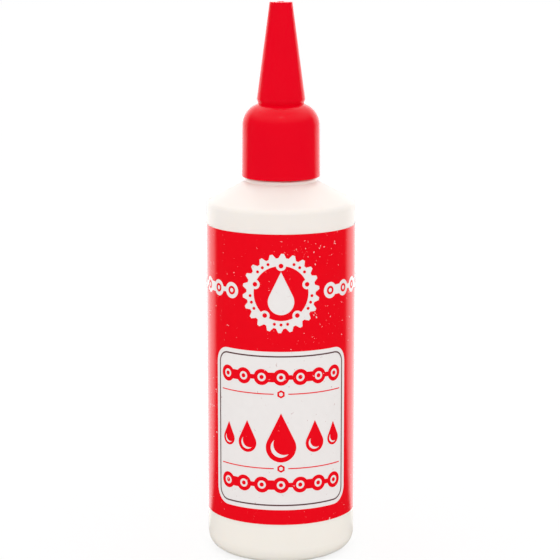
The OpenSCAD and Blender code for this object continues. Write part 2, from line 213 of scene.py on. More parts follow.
class Colours(bpy.types.PropertyGroup):
    """Colours of the bottle's materials and of the floor."""

    bottle_white: FloatVectorProperty(
        name="Bottle", description="Colour of the natural polyethylene",
        default=linear("#F5EDE6"), size=4, min=0, max=1, subtype="COLOR")
    lube_cream: FloatVectorProperty(
        name="Lube", description="Colour of the milky lube, which tints the bottle where it stands",
        default=linear("#F8F3E9"), size=4, min=0, max=1, subtype="COLOR")
    film_white: FloatVectorProperty(
        name="Label film", description="Colour of the label where nothing is printed",
        default=linear("#EEEAE8"), size=4, min=0, max=1, subtype="COLOR")
    print_red: FloatVectorProperty(
        name="Red ink", description="Colour of the label's ground and of the shapes on the panels",
        default=linear("#EE0318"), size=4, min=0, max=1, subtype="COLOR")
    print_dark: FloatVectorProperty(
        name="Dark ink", description="Colour of the thin line on the front panel",
        default=linear("#5C3A3C"), size=4, min=0, max=1, subtype="COLOR")
    ink_specks: FloatVectorProperty(
        name="Ink specks", description="Colour of the tiny specks of ink on the bare film",
        default=linear("#B98886"), size=4, min=0, max=1, subtype="COLOR")
    cap_red: FloatVectorProperty(
        name="Closure and overcap", description="Colour of the moulded polypropylene",
        default=linear("#EA011D"), size=4, min=0, max=1, subtype="COLOR")
    foam_white: FloatVectorProperty(
        name="Sealing washer", description="Colour of the foamed washer",
        default=linear("#E6E5E0"), size=4, min=0, max=1, subtype="COLOR")
    floor_pale: FloatVectorProperty(
        name="Floor", description="Colour of the floor where light falls on it",
        default=linear("#F0F0F0"), size=4, min=0, max=1, subtype="COLOR")


class StudioSizes(bpy.types.PropertyGroup):
    """Levels of the light, and places of the lamp and the camera."""

    room_level: FloatProperty(
        name="Room light", description="Strength of the even light from all round",
        default=1.03, min=0, max=2)
    lamp_power: FloatProperty(
        name="Lamp power", description="Power of the soft lamp above the bottle",
        default=0.35, min=0, max=20, unit="POWER")
    lamp_place: FloatVectorProperty(
        name="Lamp place", description="Place of the lamp, in front of the bottle and above it",
        default=(0, -0.45, 0.8), size=3, subtype="TRANSLATION")
    lamp_aim: FloatProperty(
        name="Lamp aim", description="Height on the bottle's axis that the lamp points at",
        default=0.1, unit="LENGTH")
    lamp_size: FloatProperty(
        name="Lamp size", description="Side of the square lamp",
        default=0.11, unit="LENGTH")
    front_gloss: FloatProperty(
        name="Room in the gloss", description="Level that a gloss mirrors from in front",
        default=0.06, min=0, max=5)
    backdrop_gloss: FloatProperty(
        name="Backdrop in the gloss", description="Level that a gloss mirrors from behind",
        default=2, min=0, max=5)
    ceiling_gloss: FloatProperty(
        name="Ceiling in the gloss", description="Level that a gloss mirrors from above",
        default=3, min=0, max=5)
    backdrop_edge: FloatVectorProperty(
        name="Backdrop edge", description="Sines of the angles behind the sides where it fades in",
        default=(0.42, 0.6), size=2, min=0, max=1)
    ceiling_edge: FloatVectorProperty(
        name="Ceiling edge", description="Sines of the angles over the level where it fades in",
        default=(0.3, 0.75), size=2, min=0, max=1)
    floor_radius: FloatProperty(
        name="Floor radius", description="Radius of the round floor",
        default=2.5, unit="LENGTH")
    floor_white: FloatProperty(
        name="Floor white", description="Level of the floor's plain white, as the eye sees it",
        default=1.04, min=0, max=2)
    floor_share: FloatProperty(
        name="Floor share", description="Share of plain white in the floor; the rest has the shadow",
        default=0.75, min=0, max=1)
    camera_distance: FloatProperty(
        name="Camera distance", description="Level distance from the bottle's axis to the camera",
        default=0.662, unit="LENGTH")
    camera_side: FloatProperty(
        name="Camera side", description="How far the camera stands to the right of the axis",
        default=-0.3 * MM, unit="LENGTH", precision=5)
    camera_height: FloatProperty(
        name="Camera height", description="Height of the camera above the floor",
        default=0.213, unit="LENGTH")
    aim_height: FloatProperty(
        name="Aim height", description="Height on the axis that the camera looks at",
        default=0.084, unit="LENGTH")
    lens: FloatProperty(
        name="Lens", description="Focal length on a sensor 36 mm wide",
        default=141.6, min=10, max=400)


# Hand tools


def deselect_everything():
    if bpy.context.object is not None and bpy.context.object.mode != "OBJECT":
        bpy.ops.object.mode_set(mode="OBJECT")
    bpy.ops.object.select_all(action="DESELECT")


def pick(piece):
    """Selects this piece and nothing else."""
    deselect_everything()
    piece.select_set(True)
    bpy.context.view_layer.objects.active = piece


def settle(piece):
    """Puts the piece's place, turn and size into its mesh, so that its object sits at the origin."""
    pick(piece)
    bpy.ops.object.transform_apply(location=True, rotation=True, scale=True)


def select_points(piece, wanted):
    """In edit mode, selects the points whose place passes the test, and the faces between them."""
    bpy.ops.mesh.select_mode(type="VERT")
    bpy.ops.mesh.select_all(action="DESELECT")
    mesh = bmesh.from_edit_mesh(piece.data)
    for point in mesh.verts:
        point.select = bool(wanted(point.co))
    mesh.select_flush(True)
    bmesh.update_edit_mesh(piece.data)


def face_outwards():
    """In edit mode, turns all the faces of the mesh outwards."""
    bpy.ops.mesh.select_all(action="SELECT")
    bpy.ops.mesh.normals_make_consistent(inside=False)


def apply(piece, kind, **settings):
    """Gives the piece one modifier with its settings and applies it."""
    pick(piece)
    modifier = piece.modifiers.new(kind.lower(), kind)
    for name, value in settings.items():
        setattr(modifier, name, value)
    bpy.ops.object.modifier_apply(modifier=modifier.name)


def cut(piece, *cutters):
    """Cuts each cutter out of the piece and uses it up."""
    for cutter in cutters:
        apply(piece, "BOOLEAN", operation="DIFFERENCE", solver="EXACT", object=cutter)
        bpy.data.objects.remove(cutter)
    return piece


def fuse(piece, *others):
    """Makes the piece and the others that touch it one solid."""
    for other in others:
        apply(piece, "BOOLEAN", operation="UNION", solver="EXACT", object=other)
        bpy.data.objects.remove(other)
    return piece


def gather(name, pieces):
    """Joins separate shapes into one mesh with one name."""
    deselect_everything()
    for piece in pieces:
        piece.select_set(True)
    bpy.context.view_layer.objects.active = pieces[0]
    bpy.ops.object.join()
    pieces[0].name = name
    return pieces[0]


def repeated(shape, places):
    """Copies a flat shape, each copy with its own mesh, to places along the drawing, and uses it up."""
    copies = []
    for x, z in places:
        copy = shape.copy()
        copy.data = shape.data.copy()
        bpy.context.collection.objects.link(copy)
        copy.location = (x, 0, z)
        settle(copy)
        copies.append(copy)
    bpy.data.objects.remove(shape)
    return copies


def finish_piece(piece, body, material, replaces=()):
    """Gives a piece its material, the body that carries it and the nodes that it stands for."""
    piece.data.materials.clear()
    piece.data.materials.append(material)
    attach(piece, body)
    if replaces:
        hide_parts(*replaces)
    return piece


# Flat shapes for the print: the label is drawn flat in front of the bottle, with x measured round it
# from its middle, and is wrapped last


def pulled_out(shape, low, high):
    """Makes a flat shape exactly flat, and then a slab from low to high in front of the drawing."""
    pick(shape)
    bpy.ops.object.mode_set(mode="EDIT")
    bpy.ops.mesh.select_all(action="SELECT")
    bpy.ops.transform.resize(value=(1, 0, 1), center_override=(0, 0, 0))
    bpy.ops.transform.translate(value=(0, -low, 0))
    bpy.ops.mesh.extrude_region_move(TRANSFORM_OT_translate={"value": (0, low - high, 0)})
    face_outwards()
    bpy.ops.object.mode_set(mode="OBJECT")
    return shape


def through(shape, reach=CUTTER_REACH):
    """Makes a flat shape a cutter that goes right through the print."""
    return pulled_out(shape, -reach, reach)


def drawn_circle(x, z, radius, sides=48):
    deselect_everything()
    bpy.ops.mesh.primitive_circle_add(vertices=sides, radius=radius, fill_type="NGON",
                                      location=(x, 0, z), rotation=FACING_FRONT)
    shape = bpy.context.object
    settle(shape)
    return shape


def drawn_panel(x, z, width, height, corner=0):
    """A rectangle with rounded corners about a point."""
    deselect_everything()
    bpy.ops.mesh.primitive_plane_add(size=1, location=(x, 0, z), rotation=FACING_FRONT)
    shape = bpy.context.object
    shape.scale = (width, height, 1)
    settle(shape)
    if corner:
        bpy.ops.object.mode_set(mode="EDIT")
        bpy.ops.mesh.select_all(action="SELECT")
        bpy.ops.mesh.bevel(offset=corner, segments=10, affect="VERTICES")
        bpy.ops.object.mode_set(mode="OBJECT")
    return shape


def drop_round_z(z, radius):
    """Height of the middle of a drop's round end, for a drop about the height z."""
    return z + (radius - DROP_TIP * radius) / 2


def drawn_drop(x, z, radius):
    """An oil drop about a point: the top of a circle is merged and pulled up to a tip."""
    round_z = drop_round_z(z, radius)
    merged_over = round_z + 0.46 * radius
    shape = drawn_circle(x, round_z, radius, sides=56)
    bpy.ops.object.mode_set(mode="EDIT")
    select_points(shape, lambda p: p.z > merged_over)
    bpy.ops.mesh.merge(type="CENTER")
    top_z = max(p.co.z for p in bmesh.from_edit_mesh(shape.data).verts)
    bpy.ops.transform.translate(value=(0, 0, round_z + DROP_TIP * radius - top_z))
    bpy.ops.object.mode_set(mode="OBJECT")
    return shape


def drawn_toothed_disc(x, z, radius, teeth, tooth_height):
    """A disc with teeth round it: of every four points on its rim, two are pushed out."""
    root_r = radius - tooth_height
    shape = drawn_circle(x, z, root_r, sides=4 * teeth)
    step = pi / (2 * teeth)
    bpy.ops.object.mode_set(mode="EDIT")
    select_points(shape, lambda p: round(atan2(p.x - x, p.z - z) / step) % 4 < 2)
    bpy.ops.transform.resize(value=(radius / root_r,) * 3, center_override=(x, 0, z))
    bpy.ops.object.mode_set(mode="OBJECT")
    return shape


def wrapped(piece, radius):
    """Cuts flat work into narrow strips and bends it round the bottle, its back at this radius."""
    strip = radius * STRIP_ANGLE
    reach = piece.dimensions.x / 2 + strip
    pick(piece)
    middle = sum((Vector(corner) for corner in piece.bound_box), Vector()) / 8
    first = int((middle.x - reach) / strip)
    last = int((middle.x + reach) / strip)
    bpy.ops.object.mode_set(mode="EDIT")
    for i in range(first, last + 1):
        bpy.ops.mesh.select_all(action="SELECT")
        bpy.ops.mesh.bisect(plane_co=(i * strip, 0, 0), plane_no=(1, 0, 0))
    bpy.ops.object.mode_set(mode="OBJECT")
    apply(piece, "SIMPLE_DEFORM", deform_method="BEND", deform_axis="Z",
          angle=piece.dimensions.x / radius)
    piece.location.y = -radius
    settle(piece)
    bpy.ops.object.shade_smooth_by_angle(angle=STRIP_SMOOTH)
    return piece


# Materials


def add_node(tree, kind, inputs=None, **settings):
    """Adds a node with its settings, and gives each named input its value or its link."""
    node = tree.nodes.new("ShaderNode" + kind)
    for name, value in settings.items():
        setattr(node, name, value)
    for name, value in (inputs or {}).items():
        if isinstance(value, bpy.types.NodeSocket):
            tree.links.new(value, node.inputs[name])
        else:
            node.inputs[name].default_value = value
    return node


def new_material(name):
    material = bpy.data.materials.new(name)
    material.use_nodes = True
    material.node_tree.nodes.clear()
    return material, material.node_tree


def shaded(colour, share):
    """A colour made darker or lighter by a share of itself."""
    return [min(1, c * share) for c in colour[:3]] + [1]


def blow_moulded_polyethylene(colours):
    """Natural HDPE, blown in a polished mould. It gives the eye a warm, slightly waxy white with a
    soft gloss, shallow orange peel, and a creamier tone where the lube stands behind the wall."""
    material, tree = new_material("blow_moulded_polyethylene")
    place = add_node(tree, "TexCoord").outputs["Object"]
    height = add_node(tree, "SeparateXYZ", {"Vector": place}).outputs["Z"]
    # The resin clouds over some 25 mm; the orange peel is 1.5 mm wide and 6 micrometres deep
    clouds = add_node(tree, "TexNoise", {"Vector": place, "Scale": 1 / (25 * MM), "Detail": 2})
    peel = add_node(tree, "TexNoise", {"Vector": place, "Scale": 1 / (1.5 * MM), "Detail": 1})
    white = colours.bottle_white
    resin = add_node(tree, "Mix", {0: clouds.outputs[0], 6: shaded(white, 0.985),
                                   7: shaded(white, 1.01)}, data_type="RGBA")
    # The lube's tone fades in over 4 mm about its level
    level = add_node(tree, "MapRange", {"Value": height, "From Min": lube_top_z + 2 * MM,
                                        "From Max": lube_top_z - 2 * MM, "To Max": 0.8})
    tinted = add_node(tree, "Mix", {0: level.outputs[0], 6: resin.outputs[2],
                                    7: list(colours.lube_cream)}, data_type="RGBA")
    bump = add_node(tree, "Bump", {"Height": peel.outputs[0], "Distance": 0.006 * MM,
                                   "Strength": 1})
    shader = add_node(tree, "BsdfPrincipled", {
        "Base Color": tinted.outputs[2], "Roughness": 0.36, "IOR": 1.54,
        "Specular IOR Level": 0.12, "Subsurface Weight": 0.25,
        "Subsurface Radius": (1, 0.85, 0.7), "Subsurface Scale": 1.5 * MM,
        "Normal": bump.outputs[0]})
    add_node(tree, "OutputMaterial", {"Surface": shader.outputs[0]})
    return material


def milky_lube(colours):
    """A ceramic-filled liquid. It gives the eye a wet, cloudy cream."""
    material, tree = new_material("milky_lube")
    place = add_node(tree, "TexCoord").outputs["Object"]
    # Settled wax makes faint swirls about 8 mm across
    swirl = add_node(tree, "TexNoise", {"Vector": place, "Scale": 1 / (8 * MM), "Distortion": 1.5})
    cream = colours.lube_cream
    mixed = add_node(tree, "Mix", {0: swirl.outputs[0], 6: shaded(cream, 0.96),
                                   7: shaded(cream, 1.02)}, data_type="RGBA")
    shader = add_node(tree, "BsdfPrincipled", {
        "Base Color": mixed.outputs[2], "Roughness": 0.08, "IOR": 1.45, "Subsurface Weight": 0.4,
        "Subsurface Radius": (1, 0.9, 0.7), "Subsurface Scale": 3 * MM})
    add_node(tree, "OutputMaterial", {"Surface": shader.outputs[0]})
    return material


def closed_cell_foam(colours):
    """Foamed polyethylene, die-cut from sheet. It gives the eye a dull white with tiny round cells."""
    material, tree = new_material("closed_cell_foam")
    place = add_node(tree, "TexCoord").outputs["Object"]
    # The cells are 0.25 mm across and 0.03 mm deep
    cells = add_node(tree, "TexVoronoi", {"Vector": place, "Scale": 1 / (0.25 * MM)})
    white = colours.foam_white
    # The middles of the cells, where the bump sinks them, are painted up to a tenth darker: painted
    # shade in their hollows
    tone = add_node(tree, "Mix", {0: cells.outputs[0], 6: shaded(white, 0.9), 7: list(white)},
                    data_type="RGBA")
    bump = add_node(tree, "Bump", {"Height": cells.outputs[0], "Distance": 0.03 * MM,
                                   "Strength": 0.6})
    shader = add_node(tree, "BsdfPrincipled", {"Base Color": tone.outputs[2], "Roughness": 0.75,
                                               "Normal": bump.outputs[0]})
    add_node(tree, "OutputMaterial", {"Surface": shader.outputs[0]})
    return material


def moulded_polypropylene(colours):
    """Red PP, injection moulded in a finely blasted mould. It gives the eye an even satin red with a
    hair-fine grain and barely darker flow marks."""
    material, tree = new_material("moulded_polypropylene")
    place = add_node(tree, "TexCoord").outputs["Object"]
    # Flow marks are about 14 mm wide. The real grain is 0.05 mm wide, and drawn at 0.3 mm to show
    flow = add_node(tree, "TexNoise", {"Vector": place, "Scale": 1 / (14 * MM), "Detail": 2,
                                       "Distortion": 0.6})
    grain = add_node(tree, "TexNoise", {"Vector": place, "Scale": 1 / (0.3 * MM), "Detail": 2})
    red = colours.cap_red
    tone = add_node(tree, "Mix", {0: flow.outputs[0], 6: shaded(red, 0.95), 7: shaded(red, 1.04)},
                    data_type="RGBA")
    gloss = add_node(tree, "MapRange", {"Value": grain.outputs[0], "To Min": 0.15, "To Max": 0.21})
    bump = add_node(tree, "Bump", {"Height": grain.outputs[0], "Distance": 0.004 * MM,
                                   "Strength": 1})
    shader = add_node(tree, "BsdfPrincipled", {
        "Base Color": tone.outputs[2], "Roughness": gloss.outputs[0], "IOR": 1.49,
        "Specular IOR Level": 0.09, "Normal": bump.outputs[0]})
    add_node(tree, "OutputMaterial", {"Surface": shader.outputs[0]})
    return material


def laminated(name, colour, fleck_colour=None):
    """Print or bare film under a clear gloss laminate. It gives the eye a clean, glossy colour that
    ripples a little as it follows the bottle. Flecks are pinholes in the red ink, which show the
    film, and specks of ink on the bare film."""
    material, tree = new_material(name)
    place = add_node(tree, "TexCoord").outputs["Object"]
    # The film ripples over some 12 mm by 0.015 mm, and its tone is mottled over 2.5 mm
    ripple = add_node(tree, "TexNoise", {"Vector": place, "Scale": 1 / (12 * MM), "Detail": 1})
    mottle = add_node(tree, "TexNoise", {"Vector": place, "Scale": 1 / (2.5 * MM), "Detail": 3})
    tone = add_node(tree, "Mix", {0: mottle.outputs[0], 6: shaded(colour, 0.97),
                                  7: shaded(colour, 1.02)}, data_type="RGBA").outputs[2]
    if fleck_colour is not None:
        # The flecks are 0.2 to 0.5 mm wide, a little closer together in patches 14 mm wide
        patches = add_node(tree, "TexNoise", {"Vector": place, "Scale": 1 / (14 * MM), "Detail": 1})
        crowding = add_node(tree, "MapRange", {"Value": patches.outputs[0], "To Min": 0.86,
                                               "To Max": 1.1})
        flecks = add_node(tree, "TexNoise", {"Vector": place, "Scale": 1 / (1.1 * MM), "Detail": 4,
                                             "Roughness": 0.65})
        both = add_node(tree, "Math", {0: crowding.outputs[0], 1: flecks.outputs[0]},
                        operation="MULTIPLY")
        holes = add_node(tree, "MapRange", {"Value": both.outputs[0], "From Min": 0.665,
                                            "From Max": 0.7, "To Max": 0.8})
        tone = add_node(tree, "Mix", {0: holes.outputs[0], 6: tone, 7: list(fleck_colour)},
                        data_type="RGBA").outputs[2]
    bump = add_node(tree, "Bump", {"Height": ripple.outputs[0], "Distance": 0.015 * MM,
                                   "Strength": 1})
    shader = add_node(tree, "BsdfPrincipled", {
        "Base Color": tone, "Roughness": 0.14, "IOR": 1.49, "Specular IOR Level": 0.17,
        "Normal": bump.outputs[0]})
    add_node(tree, "OutputMaterial", {"Surface": shader.outputs[0]})
    return material


def dress(node_name, material):
    """Gives a CAD node that stays in view its material."""
    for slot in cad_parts[node_name].material_slots:
        slot.material = material


# The bottle, its contents, the closure and the overcap


class DressBottle(bpy.types.Operator):
    """Gives the blown bottle its polyethylene and the parting lines that its mould leaves."""

    bl_idname = "lube_bottle.bottle"
    bl_label = "Blown bottle"

    def execute(self, context):
        sizes = context.scene.mould_mark_sizes
        material = blow_moulded_polyethylene(context.scene.bottle_colours)
        dress("bottle", material)
        lines = []
        for side in (1, -1):
            lines.append(parting_line(sizes, side, foot_path(sizes)))
            lines.append(parting_line(sizes, side, shoulder_path(sizes)))
        finish_piece(gather("parting_lines", lines), "bottle", material)
        return {"FINISHED"}


def foot_path(sizes):
    """Points up the bottle's side, from the rounding at its base to just under the label."""
    corner_r = sizes.foot_radius
    turns = [radians(turn) for turn in range(10, 91, 8)]
    bend = [(bottle_r - corner_r + corner_r * sin(a), corner_r - corner_r * cos(a)) for a in turns]
    return bend + [(bottle_r, label_low_z - sizes.label_clearance)]


def shoulder_path(sizes):
    """Points from just over the label, round the shoulder's edge and up its slope to the bead."""
    corner_r, steps = sizes.shoulder_radius, 6
    turn = pi / 2 - sizes.shoulder_slope
    edge_z = sizes.shoulder_height - corner_r * tan(turn / 2)
    bend = [(bottle_r - corner_r + corner_r * cos(a), edge_z + corner_r * sin(a))
            for a in (turn * i / steps for i in range(steps + 1))]
    bead_z = sizes.shoulder_height + (bottle_r - sizes.bead_radius) * tan(sizes.shoulder_slope)
    return [(bottle_r, label_high_z + sizes.label_clearance)] + bend + [(sizes.bead_radius, bead_z)]


def parting_line(sizes, side, path):
    """A hair-thin ridge up one side of the bottle, drawn by extruding one edge along a path."""
    width, proud, sunk = sizes.line_width, sizes.line_height, 0.1 * MM
    near = 0.001 * MM
    (first_r, first_z), (next_r, next_z) = path[:2]
    deselect_everything()
    bpy.ops.mesh.primitive_plane_add(size=width, location=(side * first_r, 0, first_z),
                                     rotation=(0, side * pi / 2, 0))
    line = bpy.context.object
    settle(line)
    bpy.ops.object.mode_set(mode="EDIT")
    # The plane's lower edge goes to the path's first point, and its upper edge to the second
    select_points(line, lambda p: p.z > first_z)
    bpy.ops.transform.translate(value=(side * (next_r - first_r), 0, next_z - first_z - width / 2))
    select_points(line, lambda p: p.z < first_z)
    bpy.ops.transform.translate(value=(0, 0, width / 2))
    at = Vector((side * next_r, 0, next_z))
    for r, z in path[2:]:
        select_points(line, lambda p: abs(p.x - at.x) < near and abs(p.z - at.z) < near)
        step = Vector((side * r, 0, z)) - at
        bpy.ops.mesh.extrude_region_move(TRANSFORM_OT_translate={"value": step})
        at += step
    face_outwards()
    bpy.ops.object.mode_set(mode="OBJECT")
    # The open strip may face either way, and its thickness has to stand proud of the wall
    outward = sum(p.normal.x * p.area for p in line.data.polygons) * side > 0
    offset = (proud - sunk) / (proud + sunk)
    apply(line, "SOLIDIFY", thickness=proud + sunk, offset=offset if outward else -offset,
          use_even_offset=True)
    apply(line, "BEVEL", width=MARK_BEVEL, segments=2)
    pick(line)
    bpy.ops.object.shade_smooth_by_angle(angle=MARK_SMOOTH)
    return line


class DressContents(bpy.types.Operator):
    """Gives the lube and the sealing washer, which are inside, their materials."""

    bl_idname = "lube_bottle.contents"
    bl_label = "Lube and washer"

    def execute(self, context):
        dress("lube_fill", milky_lube(context.scene.bottle_colours))
        dress("sealing_washer", closed_cell_foam(context.scene.bottle_colours))
        return {"FINISHED"}


class DressMouldings(bpy.types.Operator):
    """Gives the closure and the overcap their red polypropylene, and the overcap its gate mark."""

    bl_idname = "lube_bottle.mouldings"
    bl_label = "Closure and overcap"

    def execute(self, context):
        material = moulded_polypropylene(context.scene.bottle_colours)
        dress("nozzle_closure", material)
        dress("overcap", material)
        mark = gate_mark(context.scene.mould_mark_sizes)
        finish_piece(mark, "overcap", material)
        return {"FINISHED"}


def gate_mark(sizes):
    """The low ring with a torn dimple that the moulding gate leaves on the overcap's top."""
    sunk, rim, dimple = 0.1 * MM, 0.3 * MM, 0.07 * MM
    pip_inset, pip_height = 0.45 * MM, 0.09 * MM
    deselect_everything()
    bpy.ops.mesh.primitive_circle_add(vertices=40, radius=sizes.gate_radius, fill_type="NGON",
                                      location=(0, 0, overcap_top_z - sunk))
    mark = bpy.context.object
    mark.name = "gate_mark"
    settle(mark)
    height = sunk + sizes.gate_height
    bpy.ops.object.mode_set(mode="EDIT")
    bpy.ops.mesh.select_all(action="SELECT")
    bpy.ops.mesh.extrude_region_move(TRANSFORM_OT_translate={"value": (0, 0, height)})
    bpy.ops.mesh.inset(thickness=rim)
    bpy.ops.mesh.extrude_region_move(TRANSFORM_OT_translate={"value": (0, 0, -dimple)})
    bpy.ops.mesh.inset(thickness=pip_inset)
    bpy.ops.transform.translate(value=(0, 0, pip_height))
    face_outwards()
    bpy.ops.object.mode_set(mode="OBJECT")
    apply(mark, "BEVEL", width=MARK_BEVEL, segments=2)
    pick(mark)
    bpy.ops.object.shade_smooth_by_angle(angle=MARK_SMOOTH)
    return mark


# The label's film


def label_sheet(sizes, radius, thickness):
    """The whole label, flat, which leaves the back gap when it is wrapped at this radius."""
    width = (2 * pi - sizes.back_gap / bottle_r) * radius
    sheet = drawn_panel(0, (label_low_z + label_high_z) / 2, width, label_high_z - label_low_z,
                        sizes.film_corner)
    return pulled_out(sheet, 0, thickness)


class WrapFilm(bpy.types.Operator):
    """Makes the label's film with rounded corners and its real thickness, wrapped round the body."""

    bl_idname = "lube_bottle.film"
    bl_label = "Label film"

    def execute(self, context):
        sizes = context.scene.label_sizes
        colours = context.scene.bottle_colours
        back_r = film_outer_r - sizes.film_thickness
        film = wrapped(label_sheet(sizes, back_r, sizes.film_thickness), back_r)
        film.name = "wrapped_film"
        finish_piece(film, "bottle",
                     laminated("laminated_white_film", colours.film_white, colours.ink_specks),
                     ["label_film"])
        return {"FINISHED"}


# The print on the film


def panel_middle(sizes):
    """Height of the panels' middle."""
    return label_low_z + sizes.panel_rise + sizes.panel_height / 2


def emblem_middle(sizes):
    """Height of the chainring, halfway between the panel and the label's upper edge."""
    return (panel_middle(sizes) + sizes.panel_height / 2 + label_high_z) / 2


def print_width(sizes):
    """Width of the chains and rules on the front panel."""
    return sizes.panel_width - 2 * (sizes.line_inset + sizes.line_width + sizes.print_margin)


def link_pitch(sizes):
    """Pitch at which the chains with their round ends are as wide as the rules."""
    return print_width(sizes) / (sizes.link_count + 2 * ROUND_END)


def ring_inside(sizes):
    """Radius inside the chainring's web."""
    return sizes.ring_radius - sizes.tooth_height - sizes.ring_web


def round_the_ring(sizes, radius, turns):
    """Places round the chainring's middle, at turns in degrees from its top."""
    z = emblem_middle(sizes)
    return [(radius * sin(radians(turn)), z + radius * cos(radians(turn))) for turn in turns]


def panel_line(sizes, panel_width):
    """The thin line round the inside of a panel, at an even distance from its edge."""
    z, line = panel_middle(sizes), sizes.line_width
    width = panel_width - 2 * sizes.line_inset
    height = sizes.panel_height - 2 * sizes.line_inset
    corner = sizes.panel_corner - sizes.line_inset
    return cut(pulled_out(drawn_panel(0, z, width, height, corner), 0, sizes.ink_thickness),
               through(drawn_panel(0, z, width - 2 * line, height - 2 * line, corner - line)))


def chain_row(first_x, z, pitch, links, low, high):
    """A roller chain from its first pin: round ends, wide and narrow plates by turns, and rivets."""
    pins = [(first_x + i * pitch, z) for i in range(links + 1)]
    middles = [(first_x + (i + 0.5) * pitch, z) for i in range(links)]
    chain, *ends = repeated(pulled_out(drawn_circle(0, 0, ROUND_END * pitch), low, high), pins)
    plates = [None] * links
    for turn, share in enumerate((WIDE_PLATE, NARROW_PLATE)):
        plate = pulled_out(drawn_panel(0, 0, PLATE_LENGTH * pitch, share * pitch), low, high)
        plates[turn::2] = repeated(plate, middles[turn::2])
    for plate, end in zip(plates, ends):
        fuse(chain, plate, end)
    hole = pulled_out(drawn_circle(0, 0, PIN_HOLE * pitch, sides=32), low - CUTTER_REACH,
                      high + CUTTER_REACH)
    cut(chain, *repeated(hole, pins))
    rivet = pulled_out(drawn_circle(0, 0, RIVET * pitch, sides=20), low, high)
    return gather("chain_row", [chain] + repeated(rivet, pins))


def red_ground(sizes):
    """The red sheet, with the panels, the chainring and the chains beside it left open."""
    panel_z, pitch = panel_middle(sizes), link_pitch(sizes)
    ground = label_sheet(sizes, film_outer_r, sizes.ink_thickness)
    cut(ground, through(drawn_panel(0, panel_z, sizes.panel_width, sizes.panel_height,
                                    sizes.panel_corner)))
    cut(ground, *chainring_cutters(sizes))
    start_x = sizes.ring_radius + sizes.run_start
    run = chain_row(start_x, emblem_middle(sizes), pitch, sizes.run_links, -CUTTER_REACH,
                    CUTTER_REACH)
    cut(ground, *repeated(run, ((-2 * start_x - sizes.run_links * pitch, 0), (0, 0))))
    side_panel = through(drawn_panel(0, panel_z, sizes.side_panel_width, sizes.panel_height,
                                     sizes.panel_corner))
    return cut(ground, *repeated(side_panel, ((-sizes.side_panel_place, 0),
                                              (sizes.side_panel_place, 0))))


def chainring_cutters(sizes):
    """What is left open in the red ground: a toothed ring, five bolt tabs inside it and a drop."""
    z, inside_r = emblem_middle(sizes), ring_inside(sizes)
    ring = through(drawn_toothed_disc(0, z, sizes.ring_radius, sizes.ring_teeth,
                                      sizes.tooth_height))
    cut(ring, through(drawn_circle(0, z, inside_r, sides=96), 2 * CUTTER_REACH))
    tab = through(drawn_circle(0, 0, sizes.tab_radius, sides=32), 1.5 * CUTTER_REACH)
    tabs = repeated(tab, round_the_ring(sizes, inside_r, TAB_TURNS))
    drop_r = 0.33 * sizes.ring_radius
    return [ring, *tabs, through(drawn_drop(0, z, drop_r))]


def chainring_dots(sizes):
    """The red bolt in each tab of the chainring, and three red dots in its web between the tabs."""
    bolt_r, dot_r = 0.7 * MM, 0.45 * MM
    inside_r = ring_inside(sizes)
    web_middle_r = inside_r + sizes.ring_web / 2
    bolt = pulled_out(drawn_circle(0, 0, bolt_r, sides=20), 0, sizes.ink_thickness)
    dot = pulled_out(drawn_circle(0, 0, dot_r, sides=20), 0, sizes.ink_thickness)
    dot_turns = [tab + turn for tab in TAB_TURNS for turn in (24, 36, 48)]
    return (repeated(bolt, round_the_ring(sizes, inside_r, TAB_TURNS))
            + repeated(dot, round_the_ring(sizes, web_middle_r, dot_turns)))


def chains_on_panel(sizes):
    """Two rows of roller chain, near the front panel's upper and lower edge."""
    pitch, rise = link_pitch(sizes), 0.34 * sizes.panel_height
    chain = chain_row(-sizes.link_count / 2 * pitch, panel_middle(sizes), pitch,
                      sizes.link_count, 0, sizes.ink_thickness)
    return repeated(chain, ((0, rise), (0, -rise)))


def drop_row(sizes):
    """Five drops, the middle one the largest, each with a light streak down its left side."""
    z = panel_middle(sizes) - 0.04 * sizes.panel_height
    width = print_width(sizes) + 2 * sizes.print_margin
    shapes = []
    # Each size as a share of the largest, and its places as shares of the width
    for size, shares in ((1, (0,)), (0.65, (-0.25, 0.25)), (0.48, (-0.41, 0.41))):
        radius = sizes.drop_radius * size
        round_z = drop_round_z(z, radius)
        drop = pulled_out(drawn_drop(0, z, radius), 0, sizes.ink_thickness)
        # The streak is a crescent: a circle, less a larger one that lies up and to its right
        aside = 0.22 * radius
        streak = through(drawn_circle(0, round_z, 0.68 * radius))
        larger = drawn_circle(aside, round_z + aside, 0.72 * radius)
        cut(streak, through(larger, 2 * CUTTER_REACH))
        shapes += repeated(cut(drop, streak), [(share * width, 0) for share in shares])
    return shapes


def rules_with_nuts(sizes):
    """Two thin lines across the front panel, each with a hexagon nut in its middle."""
    thick, line_width = sizes.ink_thickness, 0.3 * MM
    nut_r, nut_hole_r, gap = 1.25 * MM, 0.6 * MM, 2.2 * MM
    nut = cut(pulled_out(drawn_circle(0, 0, nut_r, sides=6), 0, thick),
              through(drawn_circle(0, 0, nut_hole_r, sides=24)))
    length = print_width(sizes) / 2 - gap
    middle_x = gap + length / 2
    line = pulled_out(drawn_panel(0, 0, length, line_width), 0, thick)
    rule = gather("rule", [nut] + repeated(line, ((-middle_x, 0), (middle_x, 0))))
    z, rise = panel_middle(sizes), 0.235 * sizes.panel_height
    return repeated(rule, ((0, z + rise), (0, z - rise)))


